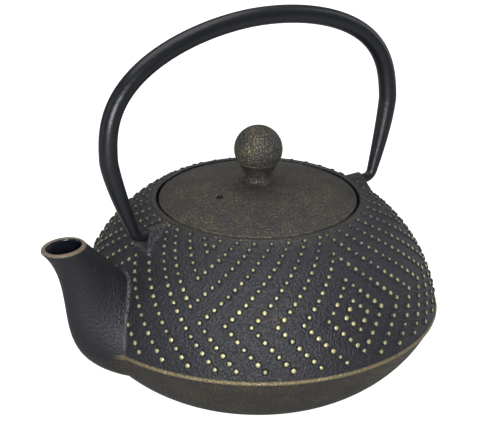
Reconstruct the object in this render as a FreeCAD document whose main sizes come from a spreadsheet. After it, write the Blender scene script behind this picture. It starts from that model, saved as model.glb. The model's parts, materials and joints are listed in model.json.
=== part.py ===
"""Cast iron teapot with a bail handle, a knobbed lid and a hanging infuser basket.

The pot stands on z = 0 with its axis on Z. The spout points along -X and the handle turns about
an axis along X. All sizes are in millimetres and live in the sheet "Sizes"; "Worked" holds what
follows from them.
"""
import FreeCAD, Part
import Sketcher
import math
import os
import re

V = FreeCAD.Vector
FULL_TURN = 360
OVAL_ARCS = 8
TOUCHING = 1e-3

SIZES = {
    # pot: a shoulder arc above the seam and a bowl arc below it
    "belly_radius": (84.5, "outside of the bead along the seam"),
    "seam_height": (31.8, "middle of the bead"),
    "band_height": (2.2, "height of the bead"),
    "band_step": (0.8, "how far the bead stands out"),
    "rim_height": (84.2, "flat land round the mouth"),
    "shoulder_curve": (70.6, "radius of the shoulder arc"),
    "base_radius": (54.2, "edge of the base"),
    "bowl_curve": (64.7, "radius of the bowl arc"),
    "wall": (3.2, "iron wall of the pot"),
    "floor_wall": (4.2, "iron floor of the pot"),
    # mouth: a recess for the lid with a ledge at its bottom
    "mouth_radius": (46.6, "recess for the lid"),
    "rim_land": (2.6, "width of the land round the mouth"),
    "rim_round": (0.6, "rounding of the land's two edges"),
    "ledge_depth": (5.2, "land down to the ledge"),
    "ledge_width": (5.6, "recess in to the throat"),
    "ledge_thickness": (3.6, "iron under the ledge"),
    # spout: its front and back lines are cubic curves, out from the belly and up from the seam
    "lip_front_out": (29.1, "front line, end at the lip"),
    "lip_front_up": (51.8, "front line, end at the lip"),
    "front_pull_out": (9.5, "front line, pull below the lip"),
    "front_pull_up": (33.5, "front line, pull below the lip"),
    "front_push_out": (25.5, "front line, pull above the bowl"),
    "front_push_up": (5.0, "front line, pull above the bowl"),
    "front_root_out": (-0.5, "front line, end at the bowl"),
    "front_root_up": (-11.6, "front line, end at the bowl"),
    "lip_back_out": (8.2, "back line, end at the lip"),
    "lip_back_up": (53.6, "back line, end at the lip"),
    "back_pull_out": (-3.1, "back line, pull below the lip"),
    "back_pull_up": (40.9, "back line, pull below the lip"),
    "back_push_out": (-17.2, "back line, pull above the shoulder"),
    "back_push_up": (32.2, "back line, pull above the shoulder"),
    "back_root_out": (-18.2, "back line, end inside the shoulder"),
    "back_root_up": (15.3, "back line, end inside the shoulder"),
    "lip_half_width": (9.3, "half width at the lip"),
    "neck_half_width": (7.5, "pull on the half width below the lip"),
    "waist_half_width": (6.1, "pull on the half width above the root"),
    "root_half_width": (21.0, "half width at the root"),
    "spout_wall": (2.6, "iron wall of the spout"),
    "lip_round": (0.9, "rounding of the lip, inside and outside"),
    "port_half_height": (10.0, "opening from the pot into the spout"),
    "port_half_width": (8.0, "opening from the pot into the spout"),
    "port_up": (9.0, "middle of the opening above the seam"),
    "root_blend": (2.0, "fillet round the spout's root"),
    # lugs: gabled ears whose ridge runs straight out from the rim
    "lug_round": (2.6, "radius of the ridge"),
    "lug_drop": (1.2, "ridge below the land"),
    "lug_half_base": (7.6, "half width at the foot of the sides"),
    "lug_foot_drop": (14.0, "foot of the sides below the ridge"),
    "lug_reach": (12.4, "end of the ridge, out from the recess"),
    "lug_batter": (24.0, "lean of the outer face, degrees"),
    "lug_edge": (0.8, "rounding round the outer face"),
    "lug_blend": (2.0, "fillet where a lug meets the shoulder"),
    "pin_drop": (4.8, "pin axis below the land"),
    "pin_radius": (2.25, "hooked end of the handle"),
    "pin_clearance": (0.08, "radial, pin in its lug"),
    "pin_depth": (5.2, "pin inside the lug, along its axis"),
    "pin_gap": (0.5, "end of the pin to the bottom of its hole"),
    # handle: heights are above the pin axis
    "handle_standoff": (4.75, "middle of the arm's foot, out from the lug"),
    "handle_bulge": (11.5, "widest point of the arm, out from its foot"),
    "handle_widest": (37.7, "height of the widest point"),
    "handle_rise": (88.7, "height of the top"),
    "handle_radius": (4.2, "rod over the top"),
    "handle_taper": (40.0, "height over which the rod thins to its hook"),
    "hook_bend": (4.5, "bend into the lug"),
    "handle_lean": (5.2, "lean at rest towards +Y, degrees"),
    "arm_lower_power": (1.28, "how the arm bows out below its widest point"),
    "arm_side_power": (1.91, "roundness of the top, across"),
    "arm_top_power": (2.73, "roundness of the top, upwards"),
    # lid
    "lid_gap": (1.1, "radial, lid in the recess"),
    "lid_sink": (0.3, "lid edge below the land"),
    "lid_rise": (8.4, "dome above the lid edge"),
    "lid_wall": (3.2, "iron of the dome"),
    "skirt_gap": (1.3, "radial, skirt in the basket"),
    "skirt_wall": (2.4, "skirt under the lid"),
    "skirt_depth": (5.4, "skirt below the lid's seat"),
    "vent_radius": (1.5, "vent hole"),
    "vent_offset": (23.0, "vent hole from the axis"),
    "vent_angle": (7.0, "vent hole, turned from the spout, degrees"),
    "knob_land": (8.2, "flat on the dome under the knob"),
    # knob: heights are above the flat on the dome
    "ball_radius": (11.1, "ball"),
    "ball_height": (15.4, "middle of the ball"),
    "neck_radius": (6.0, "neck"),
    "neck_height": (3.4, "top of the neck"),
    "neck_flare": (1.5, "foot beyond the neck, and its fillet"),
    "neck_foot": (0.4, "straight edge of the foot"),
    # screw and washer under the knob
    "screw_radius": (2.0, "shank"),
    "screw_length": (13.0, "shank"),
    "screw_clearance": (0.25, "radial, screw in lid and washer"),
    "thread_clearance": (0.02, "radial, screw in knob"),
    "thread_spare": (0.6, "end of the screw to the end of its hole"),
    "head_radius": (3.8, "head"),
    "head_height": (2.4, "head"),
    "head_edge": (0.6, "chamfer of the head"),
    "slot_width": (1.0, "cross slot"),
    "slot_length": (4.6, "cross slot"),
    "slot_depth": (1.2, "cross slot"),
    "washer_radius": (5.5, "washer"),
    "washer_height": (0.8, "washer"),
    "boss_margin": (1.0, "flat under the dome beyond the washer"),
    # infuser basket
    "flange_gap": (1.4, "radial, flange in the recess"),
    "flange_height": (0.7, "rolled flange"),
    "basket_gap": (1.7, "radial, sleeve in the throat"),
    "steel": (0.5, "steel strip"),
    "collar_height": (6.0, "collar below the flange"),
    "sleeve_sink": (0.3, "top of the sleeve below the flange"),
    "basket_depth": (48.0, "ledge down to the foot ring"),
    "foot_ring_height": (3.0, "crimped foot ring"),
    "foot_ring_width": (2.0, "crimped foot ring under the floor"),
    "floor_gap": (0.05, "radial, floor in the sleeve"),
}

WORKED = {
    "band_top": "seam_height + band_height / 2",
    "band_bottom": "seam_height - band_height / 2",
    "skin_radius": "belly_radius - band_step",
    "band_curve": "(pow(band_height / 2; 2) + pow(band_step; 2)) / (2 * band_step)",
    "rim_radius": "mouth_radius + rim_land",
    "rim_edge": "rim_height - rim_round",
    # middles of the two arcs of the outline, from their ends and their radii
    "shoulder_run": "skin_radius - rim_radius",
    "shoulder_climb": "rim_edge - band_top",
    "shoulder_chord": "hypot(shoulder_run; shoulder_climb)",
    "shoulder_lift": "sqrt(pow(shoulder_curve; 2) - pow(shoulder_chord / 2; 2)) / shoulder_chord",
    "shoulder_in": "(skin_radius + rim_radius) / 2 - shoulder_lift * shoulder_climb",
    "shoulder_up": "(band_top + rim_edge) / 2 - shoulder_lift * shoulder_run",
    "bowl_run": "skin_radius - base_radius",
    "bowl_chord": "hypot(bowl_run; band_bottom)",
    "bowl_lift": "sqrt(pow(bowl_curve; 2) - pow(bowl_chord / 2; 2)) / bowl_chord",
    "bowl_in": "(skin_radius + base_radius) / 2 - bowl_lift * band_bottom",
    "bowl_up": "band_bottom / 2 + bowl_lift * bowl_run",
    # cavity
    "cavity_shoulder": "shoulder_curve - wall",
    "cavity_bowl": "bowl_curve - wall",
    "floor_radius": "bowl_in + sqrt(pow(cavity_bowl; 2) - pow(floor_wall - bowl_up; 2))",
    "seam_rise": "seam_height - shoulder_up",
    "cavity_radius": "shoulder_in + sqrt(pow(cavity_shoulder; 2) - pow(seam_rise; 2))",
    "ledge_height": "rim_height - ledge_depth",
    "throat_top": "ledge_height - ledge_thickness",
    "throat_rise": "throat_top - shoulder_up",
    "throat_out": "shoulder_in + sqrt(pow(cavity_shoulder; 2) - pow(throat_rise; 2))",
    "throat_radius": "mouth_radius - ledge_width",
    # lugs and pins
    "ridge_height": "rim_height - lug_drop",
    "ridge_end": "mouth_radius + lug_reach",
    "lug_span": "hypot(lug_half_base; lug_foot_drop - lug_round)",
    "lug_turn": "acos(lug_round / lug_span) - atan2(lug_foot_drop - lug_round; lug_half_base)",
    "ridge_half_width": "lug_round * cos(lug_turn)",
    "ridge_side_height": "ridge_height - lug_round + lug_round * sin(lug_turn)",
    "lug_foot": "ridge_height - lug_foot_drop",
    "lug_root": "ridge_height - 1.5 * lug_foot_drop",
    "lug_root_end": "ridge_end + 1.5 * lug_foot_drop * tan(lug_batter)",
    "pin_height": "rim_height - pin_drop",
    "lug_face": "ridge_end + (pin_drop - lug_drop) * tan(lug_batter)",
    "pin_end": "lug_face - pin_depth",
    "hole_end": "pin_end - pin_gap",
    "half_span": "lug_face + handle_standoff + handle_bulge",
    # lid
    "lid_seat": "ledge_height + flange_height",
    "lid_radius": "mouth_radius - lid_gap",
    "lid_edge": "rim_height - lid_sink",
    "lid_top": "lid_edge + lid_rise",
    "dome_curve": "(pow(lid_radius; 2) + pow(lid_rise; 2)) / (2 * lid_rise)",
    "sleeve_outside": "throat_radius - basket_gap",
    "sleeve_inside": "sleeve_outside - steel",
    "skirt_outside": "sleeve_inside - skirt_gap",
    "skirt_inside": "skirt_outside - skirt_wall",
    "skirt_bottom": "lid_seat - skirt_depth",
    "dome_under": "lid_top - pow(skirt_inside; 2) / (2 * dome_curve) - lid_wall",
    "boss_under": "lid_top - lid_wall",
    "boss_radius": "washer_radius + boss_margin",
    "vent_x": "-vent_offset * cos(vent_angle)",
    "vent_y": "-vent_offset * sin(vent_angle)",
    # knob, from the flat on the dome
    "ball_middle": "lid_top + ball_height",
    "neck_top": "lid_top + neck_height",
    "neck_span": "hypot(neck_radius; ball_height - neck_height)",
    "ball_turn": "acos(ball_radius / neck_span) - atan2(ball_height - neck_height; neck_radius)",
    "cone_radius": "ball_radius * cos(ball_turn)",
    "cone_height": "ball_middle + ball_radius * sin(ball_turn)",
    "screw_head_top": "boss_under - washer_height",
    "screw_end": "screw_head_top + screw_length",
    "screw_hole": "screw_radius + screw_clearance",
    "thread_hole": "screw_radius + thread_clearance",
    # basket
    "flange_radius": "mouth_radius - flange_gap",
    "basket_bottom": "ledge_height - basket_depth",
    "basket_floor": "basket_bottom + steel",
}

doc = FreeCAD.newDocument("cast_iron_teapot")


def owned(text):
    """Puts the owner, Sizes or Worked, in front of every bare name of an expression."""

    def owner(match):
        name = match.group(0)
        if name in SIZES:
            return f"Sizes.{name}"
        if name in WORKED:
            return f"Worked.{name}"
        return name

    return re.sub(r"[A-Za-z_]\w*", owner, str(text))


def make_sheet():
    """Writes the driving sizes into the sheet, one aliased cell each."""
    sheet = doc.addObject("Spreadsheet::Sheet", "Sizes")
    for row, (alias, (number, meaning)) in enumerate(SIZES.items(), start=1):
        sheet.set(f"A{row}", alias)
        sheet.set(f"B{row}", str(number))
        sheet.set(f"C{row}", meaning)
        sheet.setAlias(f"B{row}", alias)
    doc.recompute()


def make_worked():
    """Keeps every value that follows from the sizes as a property bound to its expression."""
    worked = doc.addObject("App::VarSet", "Worked")
    for name in WORKED:
        kind = "App::PropertyAngle" if name.endswith("_turn") else "App::PropertyFloat"
        worked.addProperty(kind, name)
    for name, text in WORKED.items():
        worked.setExpression(name, owned(text))
    doc.recompute()
    return worked


make_sheet()
worked = make_worked()


def size(text):
    """The value of an expression as a plain number."""
    found = worked.evalExpression(owned(text))
    return float(getattr(found, "Value", found))


# ---- sketches and solids -------------------------------------------------------------------------

def new_sketch(body, name, role):
    """A sketch on one of its own body's origin planes."""
    sketch = body.newObject("Sketcher::SketchObject", name)
    plane = next(item for item in body.Origin.OriginFeatures if item.Role == role)
    sketch.AttachmentSupport = [(plane, "")]
    sketch.MapMode = "FlatFace"
    return sketch


def arc_middle(start, end, radius):
    """The middle of the short arc from start to end; a positive radius bulges to the right."""
    chord = end - start
    right = V(chord.y, -chord.x, 0).normalize()
    rise = abs(radius) - math.sqrt(radius * radius - chord.Length * chord.Length / 4)
    return (start + end) / 2 + right * math.copysign(rise, radius)


def tie(sketch, curve, end, kind, axis, text):
    """Ties one coordinate of a curve's end to an expression, or to the axis where it is nothing."""
    if text == 0:
        sketch.addConstraint(Sketcher.Constraint("PointOnObject", curve, end, axis))
    else:
        index = sketch.addConstraint(Sketcher.Constraint(kind, -1, 1, curve, end, size(text)))
        sketch.setExpression(f"Constraints[{index}]", owned(text))


def draw_outline(sketch, corners):
    """Closes a chain of corners (across, up) or (across, up, radius). A radius makes an arc of the
    stretch that leads to its corner; it is positive where the arc bulges to the right of the way
    round, which is outwards on a chain that runs anticlockwise."""
    points = [V(size(corner[0]), size(corner[1]), 0) for corner in corners]
    curves = []
    for place, corner in enumerate(corners):
        start, end = points[place - 1], points[place]
        if len(corner) == 2:
            curve = sketch.addGeometry(Part.LineSegment(start, end), False)
            curves.append((curve, 1, 2))
            continue
        middle = arc_middle(start, end, size(corner[2]))
        curve = sketch.addGeometry(Part.Arc(start, middle, end), False)
        forward = sketch.getPoint(curve, 1).distanceToPoint(start) < 1e-6
        curves.append((curve, 1, 2) if forward else (curve, 2, 1))
        index = sketch.addConstraint(Sketcher.Constraint("Radius", curve, abs(size(corner[2]))))
        sketch.setExpression(f"Constraints[{index}]", f"abs({owned(corner[2])})")
    for place, (curve, _, last) in enumerate(curves):
        following, first, _ = curves[(place + 1) % len(curves)]
        sketch.addConstraint(Sketcher.Constraint("Coincident", curve, last, following, first))
        tie(sketch, curve, last, "DistanceX", -2, corners[place][0])
        tie(sketch, curve, last, "DistanceY", -1, corners[place][1])


def turned(name, corners):
    """A body turned about Z from an outline of (radius, height) corners."""
    body = doc.addObject("PartDesign::Body", name)
    sketch = new_sketch(body, f"{name}_outline", "XZ_Plane")
    draw_outline(sketch, corners)
    turn = body.newObject("PartDesign::Revolution", f"{name}_turn")
    turn.Profile = sketch
    turn.ReferenceAxis = (sketch, ["V_Axis"])
    turn.Angle = FULL_TURN
    doc.recompute()
    return body


def padded(name, role, corners, length):
    """A body padded to both sides of an origin plane."""
    body = doc.addObject("PartDesign::Body", name)
    sketch = new_sketch(body, f"{name}_outline", role)
    draw_outline(sketch, corners)
    pad = body.newObject("PartDesign::Pad", f"{name}_pad")
    pad.Profile = sketch
    pad.Midplane = True
    pad.setExpression("Length", owned(length))
    doc.recompute()
    return body


def pocket(body, name, sketch, depth=None):
    """Cuts a sketch upwards out of a body, or right through it, and makes sure that it cuts."""
    doc.recompute()
    before = body.Shape.Volume
    cut = body.newObject("PartDesign::Pocket", name)
    cut.Profile = sketch
    if depth is None:
        cut.Type = "ThroughAll"
        cut.Midplane = True
    else:
        cut.Reversed = True
        cut.setExpression("Length", owned(depth))
    doc.recompute()
    if body.Shape.Volume >= before:
        raise RuntimeError(f"{name} cuts nothing")


def boolean(kind, name, **links):
    """A Part boolean of other objects."""
    result = doc.addObject(kind, name)
    for key, value in links.items():
        setattr(result, key, value)
    doc.recompute()
    return result


def solid_of(name, shape):
    """A feature whose shape is made in code."""
    feature = doc.addObject("Part::Feature", name)
    feature.Shape = shape
    return feature


# ---- spout ---------------------------------------------------------------------------------------

def cubic(values, way):
    """A cubic curve through the first and last of four values, drawn towards the two between."""
    back = 1 - way
    weights = (back ** 3, 3 * back * back * way, 3 * back * way * way, way ** 3)
    return sum(weight * value for weight, value in zip(weights, values))


def spout_line(side, way):
    """A point of the spout's front or back line, from the lip at 0 to the root at 1."""
    stops = (f"lip_{side}", f"{side}_pull", f"{side}_push", f"{side}_root")
    out = cubic([size(f"{stop}_out") for stop in stops], way)
    up = cubic([size(f"{stop}_up") for stop in stops], way)
    return V(-size("belly_radius") - out, 0, size("seam_height") + up)


def oval(front, back, half_width):
    """An oval wire between two points of the XZ plane, with the given half width along Y: one curve of
    cubic arcs, each of which leaves and meets its neighbours along the oval's tangents."""
    middle = (front + back) / 2
    along = (front - back) / 2
    across = V(0, half_width, 0)
    pull = 4 / 3 * math.tan(math.pi / OVAL_ARCS / 2)
    poles = []
    for step in range(OVAL_ARCS + 1):
        turn = 2 * math.pi * step / OVAL_ARCS
        point = middle + along * math.cos(turn) + across * math.sin(turn)
        tangent = across * math.cos(turn) - along * math.sin(turn)
        poles += [point - tangent * pull, point, point + tangent * pull]
    curve = Part.BSplineCurve()
    ends = [4] + [3] * (OVAL_ARCS - 1) + [4]
    curve.buildFromPolesMultsKnots(poles[1:-1], ends, list(range(OVAL_ARCS + 1)), False, 3)
    return Part.Wire(curve.toShape())


def spout_oval(way, inset):
    """The spout's section at a way from lip to root, drawn in by an inset."""
    front, back = spout_line("front", way), spout_line("back", way)
    widths = [size(f"{stop}_half_width") for stop in ("lip", "neck", "waist", "root")]
    width = cubic(widths, min(way, 1))
    step = (front - back).normalize() * inset
    return oval(front - step, back + step, width - inset)


def make_spout():
    """The spout's solid, which runs on into the pot."""
    sections = [spout_oval(way / 6, 0) for way in range(7)]
    sections.append(spout_oval(1.12, 0))
    return solid_of("spout", Part.makeLoft(sections, True))


def make_spout_channel():
    """The way through the spout, from the opening in the pot's wall out past the lip."""
    wall = size("spout_wall")
    sections = [spout_oval(way, wall) for way in (-0.04, 0.16, 0.36, 0.56, 0.74)]
    inside = V(3 * size("wall") - size("cavity_radius"), 0, size("seam_height") + size("port_up"))
    tall = V(0, 0, size("port_half_height"))
    sections.append(oval(inside - tall, inside + tall, size("port_half_width")))
    return solid_of("spout_channel", Part.makeLoft(sections, True))


# ---- pot body ------------------------------------------------------------------------------------

def make_lugs():
    """Both lugs as one gabled bar through the pot, its ends cut to the lean of their faces."""
    gable = padded("lug_gable", "YZ_Plane", [
        ("ridge_half_width", "ridge_side_height"),
        ("-ridge_half_width", "ridge_side_height", "lug_round"),
        ("-lug_half_base", "lug_foot"),
        ("-lug_half_base", "lug_root"),
        ("lug_half_base", "lug_root"),
        ("lug_half_base", "lug_foot"),
    ], "2 * lug_root_end")
    ends = padded("lug_ends", "XZ_Plane", [
        ("-ridge_end", "ridge_height"),
        ("-lug_root_end", "lug_root"),
        ("lug_root_end", "lug_root"),
        ("ridge_end", "ridge_height"),
    ], "4 * lug_half_base")
    bar = boolean("Part::Common", "lug_bar", Base=gable, Tool=ends)
    inside = size("ridge_end") - size("lug_round")
    rims = [number for number, edge in enumerate(bar.Shape.Edges, start=1)
            if all(abs(vertex.X) > inside for vertex in edge.Vertexes)
            and any(vertex.Z > size("lug_root") + 1 for vertex in edge.Vertexes)
            and len({vertex.X > 0 for vertex in edge.Vertexes}) == 1]
    return blended("lugs", bar, rims, "lug_edge")


def make_pin_hole(name, side):
    """The blind hole in one lug."""
    hole = doc.addObject("Part::Cylinder", name)
    hole.setExpression("Radius", owned("pin_radius + pin_clearance"))
    hole.setExpression("Height", owned("pin_depth + pin_gap + lug_reach"))
    hole.Placement.Rotation = FreeCAD.Rotation(V(0, 0, 1), V(side, 0, 0))
    hole.setExpression("Placement.Base.x", owned("hole_end" if side > 0 else "-hole_end"))
    hole.setExpression("Placement.Base.z", owned("pin_height"))
    return hole


def shared_edges(whole, first, second, wanted):
    """The numbers of the edges of a fused shape where two of its parts meet."""
    skins = [part.Shape.Shells[0] for part in (first, second)]
    found = []
    for number, edge in enumerate(whole.Shape.Edges, start=1):
        start, end = edge.ParameterRange
        spots = [edge.valueAt(start + (end - start) * way) for way in (0.2, 0.5, 0.8)]
        gaps = [skin.distToShape(Part.Vertex(spot))[0] for spot in spots for skin in skins]
        if max(gaps) < TOUCHING and all(wanted(spot) for spot in spots):
            found.append(number)
    return found


def blended(name, base, numbers, radius):
    """A fillet on the numbered edges."""
    fillet = doc.addObject("Part::Fillet", name)
    fillet.Base = base
    fillet.Edges = [(number, size(radius), size(radius)) for number in numbers]
    doc.recompute()
    return fillet


def make_pot_body():
    """One casting: the pot with its spout and lugs, hollowed and drilled."""
    vessel = turned("vessel", [
        (0, 0),
        ("base_radius", 0),
        ("skin_radius", "band_bottom", "bowl_curve"),
        ("skin_radius", "band_top", "band_curve"),
        ("rim_radius", "rim_edge", "shoulder_curve"),
        ("rim_radius - rim_round", "rim_height", "rim_round"),
        (0, "rim_height"),
    ])
    cavity = turned("cavity", [
        (0, "floor_wall"),
        ("floor_radius", "floor_wall"),
        ("cavity_radius", "seam_height", "cavity_bowl"),
        ("throat_out", "throat_top", "cavity_shoulder"),
        ("throat_radius", "throat_top"),
        ("throat_radius", "ledge_height"),
        ("mouth_radius", "ledge_height"),
        ("mouth_radius", "rim_edge"),
        ("mouth_radius + rim_round", "rim_height", "-rim_round"),
        ("mouth_radius + rim_round", "rim_height + wall"),
        (0, "rim_height + wall"),
    ])
    spout = make_spout()
    lugs = make_lugs()
    outside = boolean("Part::MultiFuse", "outside", Shapes=[vessel, spout, lugs])
    rim = size("rim_radius")
    feet = shared_edges(outside, vessel, lugs, lambda spot: abs(spot.x) > rim)
    outside = blended("lug_feet", outside, feet, "lug_blend")
    above = size("band_top") + size("band_step")
    roots = shared_edges(outside, vessel, spout, lambda spot: spot.z > above)
    outside = blended("spout_root", outside, roots, "root_blend")
    hollow = boolean("Part::MultiFuse", "hollow", Shapes=[cavity, make_spout_channel()])
    holes = [make_pin_hole("pin_hole_left", -1), make_pin_hole("pin_hole_right", 1)]
    drills = boolean("Part::MultiFuse", "drills", Shapes=holes)
    hollowed = boolean("Part::Cut", "hollowed", Base=outside, Tool=hollow)
    lip = size("seam_height") + min(size("lip_front_up"), size("lip_back_up")) - size("lip_round")
    around = [number for number, edge in enumerate(hollowed.Shape.Edges, start=1)
              if edge.BoundBox.ZMin > lip and edge.BoundBox.XMax < -size("belly_radius")]
    hollowed = blended("rounded_lip", hollowed, around, "lip_round")
    return boolean("Part::Cut", "drilled", Base=hollowed, Tool=drills)


# ---- handle --------------------------------------------------------------------------------------

def arm_point(up):
    """The middle line of an arm below its widest point, from the pin axis."""
    widest = size("handle_widest")
    share = (widest - up) / widest
    return V(size("half_span") - size("handle_bulge") * share ** size("arm_lower_power"), 0, up)


def top_point(turn):
    """The middle line over the top, from the widest point at 0 to the top at a quarter turn."""
    widest = size("handle_widest")
    out = size("half_span") * math.cos(turn) ** (2 / size("arm_side_power"))
    rise = (size("handle_rise") - widest) * math.sin(turn) ** (2 / size("arm_top_power"))
    return V(out, 0, widest + rise)


def bend_points(steps):
    """The middle line round the bend that joins the pin to the arm, and the bend's two ends."""
    corner = arm_point(0)
    arm_way = (arm_point(0.1) - corner).normalize()
    turn = math.atan2(arm_way.z, arm_way.x)
    radius = size("hook_bend")
    start = corner - V(radius * math.tan(turn / 2), 0, 0)
    middle = start + V(0, 0, radius)
    angles = [turn * step / steps for step in range(steps + 1)]
    return [middle + V(radius * math.sin(angle), 0, -radius * math.cos(angle)) for angle in angles]


def rod_radius(up):
    """The rod thins from its full size to the hook's over the foot of the arm."""
    share = min(max(up, 0) / size("handle_taper"), 1)
    hook = size("pin_radius")
    return hook + (size("handle_radius") - hook) * math.sin(share * math.pi / 2)


def make_handle():
    """The bail: a rod that thins towards its two hooks, and leans at rest."""
    bend = bend_points(3)
    arm = [arm_point(size("handle_widest") * step / 6) for step in range(1, 7)]
    top = [top_point(math.pi / 2 * step / 6) for step in range(1, 6)]
    side = bend + arm + top
    crown = V(0, 0, size("handle_rise"))
    line = [V(-p.x, 0, p.z) for p in side] + [crown] + side[::-1]
    rings = []
    last = len(line) - 1
    for place, point in enumerate(line):
        along = line[min(place + 1, last)] - line[max(place - 1, 0)]
        if place in (0, last):
            along = V(-1, 0, 0)
        rings.append(Part.Wire(Part.makeCircle(rod_radius(point.z), point, along)))
    rod = Part.makeLoft(rings, True)
    for way in (-1, 1):
        length = bend[0].x - size("pin_end")
        end = V(way * size("pin_end"), 0, 0)
        rod = rod.fuse(Part.makeCylinder(size("pin_radius"), length, end, V(way, 0, 0)))
    handle = solid_of("handle_rod", rod.removeSplitter())
    lean = FreeCAD.Rotation(V(1, 0, 0), -size("handle_lean"))
    handle.Placement = FreeCAD.Placement(V(0, 0, size("pin_height")), lean)
    return handle


# ---- lid, knob and their fastening ---------------------------------------------------------------

def make_lid():
    """The cast dome with its edge, its skirt, the boss under the knob and the vent hole."""
    lid = turned("lid_casting", [
        ("screw_hole", "boss_under"),
        ("boss_radius", "boss_under"),
        ("skirt_inside", "dome_under", "-dome_curve"),
        ("skirt_inside", "skirt_bottom"),
        ("skirt_outside", "skirt_bottom"),
        ("skirt_outside", "lid_seat"),
        ("lid_radius", "lid_seat"),
        ("lid_radius", "lid_edge"),
        ("knob_land", "lid_top", "dome_curve"),
        ("screw_hole", "lid_top"),
    ])
    vent = new_sketch(lid, "vent", "XY_Plane")
    middle = V(size("vent_x"), size("vent_y"), 0)
    circle = vent.addGeometry(Part.Circle(middle, V(0, 0, 1), size("vent_radius")), False)
    tie(vent, circle, 3, "DistanceX", -2, "vent_x")
    tie(vent, circle, 3, "DistanceY", -1, "vent_y")
    index = vent.addConstraint(Sketcher.Constraint("Radius", circle, size("vent_radius")))
    vent.setExpression(f"Constraints[{index}]", owned("vent_radius"))
    pocket(lid, "vent_hole", vent)
    return lid


def make_lid_knob():
    """The ball on its neck, tapped from below."""
    return turned("knob_casting", [
        ("thread_hole", "lid_top"),
        ("neck_radius + neck_flare", "lid_top"),
        ("neck_radius + neck_flare", "lid_top + neck_foot"),
        ("neck_radius", "lid_top + neck_foot + neck_flare", "-neck_flare"),
        ("neck_radius", "neck_top"),
        ("cone_radius", "cone_height"),
        ("ball_radius", "ball_middle", "ball_radius"),
        (0, "ball_middle + ball_radius", "ball_radius"),
        (0, "screw_end + thread_spare"),
        ("thread_hole", "screw_end + thread_spare"),
    ])


def make_knob_screw():
    """A pan head screw with a cross slot, driven upwards."""
    screw = turned("screw", [
        (0, "screw_head_top - head_height"),
        ("head_radius - head_edge", "screw_head_top - head_height"),
        ("head_radius", "screw_head_top - head_height + head_edge"),
        ("head_radius", "screw_head_top"),
        ("screw_radius", "screw_head_top"),
        ("screw_radius", "screw_end"),
        (0, "screw_end"),
    ])
    cross = new_sketch(screw, "cross", "XY_Plane")
    cross.setExpression("AttachmentOffset.Base.z", owned("screw_head_top - head_height"))
    draw_outline(cross, cross_corners("slot_length / 2", "slot_width / 2"))
    pocket(screw, "cross_slot", cross, "slot_depth")
    return screw


def cross_corners(far, near):
    """The corners of a plus sign, anticlockwise."""
    quarter = [(far, near), (near, near), (near, far)]
    corners = []
    for _ in range(4):
        corners += quarter
        quarter = [(f"-({up})", across) for across, up in quarter]
    return corners


def make_ring(name, inner, outer, bottom, top):
    """A flat ring."""
    return turned(name, [(inner, bottom), (outer, bottom), (outer, top), (inner, top)])


def make_knob_washer():
    """A flat washer between the boss and the screw's head."""
    return make_ring("washer", "screw_hole", "washer_radius", "screw_head_top", "boss_under")


# ---- infuser basket ------------------------------------------------------------------------------

def make_infuser_rim():
    """A flange that lies on the ledge, with a collar round the sleeve."""
    return turned("rim_strip", [
        ("sleeve_outside", "ledge_height - collar_height"),
        ("sleeve_outside + steel", "ledge_height - collar_height"),
        ("sleeve_outside + steel", "ledge_height"),
        ("flange_radius", "ledge_height"),
        ("flange_radius", "lid_seat"),
        ("sleeve_outside", "lid_seat"),
    ])


def make_infuser_sleeve():
    """The strip rolled into a tube."""
    top = "lid_seat - sleeve_sink"
    return make_ring("sleeve_strip", "sleeve_inside", "sleeve_outside", "basket_floor", top)


def make_foot_ring():
    """An angle ring that carries the floor and grips the sleeve."""
    return turned("foot_strip", [
        ("sleeve_inside - foot_ring_width", "basket_bottom"),
        ("sleeve_outside + steel", "basket_bottom"),
        ("sleeve_outside + steel", "basket_bottom + foot_ring_height"),
        ("sleeve_outside", "basket_bottom + foot_ring_height"),
        ("sleeve_outside", "basket_floor"),
        ("sleeve_inside - foot_ring_width", "basket_floor"),
    ])


def make_infuser_floor():
    """The disc on the foot ring, inside the sleeve."""
    return turned("floor_disc", [
        (0, "basket_floor"),
        ("sleeve_inside - floor_gap", "basket_floor"),
        ("sleeve_inside - floor_gap", "basket_floor + steel"),
        (0, "basket_floor + steel"),
    ])


# ---- the teapot ----------------------------------------------------------------------------------

def make_teapot():
    """Every piece under its own name."""
    return {
        "pot_body": make_pot_body(),
        "handle": make_handle(),
        "lid": make_lid(),
        "lid_knob": make_lid_knob(),
        "knob_screw": make_knob_screw(),
        "knob_washer": make_knob_washer(),
        "infuser_rim": make_infuser_rim(),
        "infuser_sleeve": make_infuser_sleeve(),
        "infuser_floor": make_infuser_floor(),
        "infuser_foot_ring": make_foot_ring(),
    }


def check(pieces):
    """Stops if any object failed or any piece is not one sound solid."""
    failed = [item.Name for item in doc.Objects if {"Invalid", "Error"} & set(item.State)]
    if failed:
        raise RuntimeError(f"failed objects: {failed}")
    for name, piece in pieces.items():
        shape = piece.Shape
        if shape.isNull() or not shape.isValid() or len(shape.Solids) != 1:
            raise RuntimeError(f"{name} is not one sound solid")


def main():
    pieces = make_teapot()
    doc.recompute()
    check(pieces)
    os.makedirs("parts", exist_ok=True)
    for name, piece in pieces.items():
        piece.Label = name
        piece.Shape.exportStep(f"parts/{name}.step")
        print(f"{name}: {piece.Shape.Volume / 1000:.2f} cm3")


if __name__ == "__main__":
    main()
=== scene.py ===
"""Looks of a cast iron teapot, built round its CAD frame. All lengths are in metres.

The pot stands on z = 0 with its axis on Z. The spout points along -X and the handle turns about an
axis along X.
"""
import json
import math

import bmesh
import bpy
from bpy.props import FloatProperty, FloatVectorProperty, IntProperty, PointerProperty
from mathutils import Matrix, Vector


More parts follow.
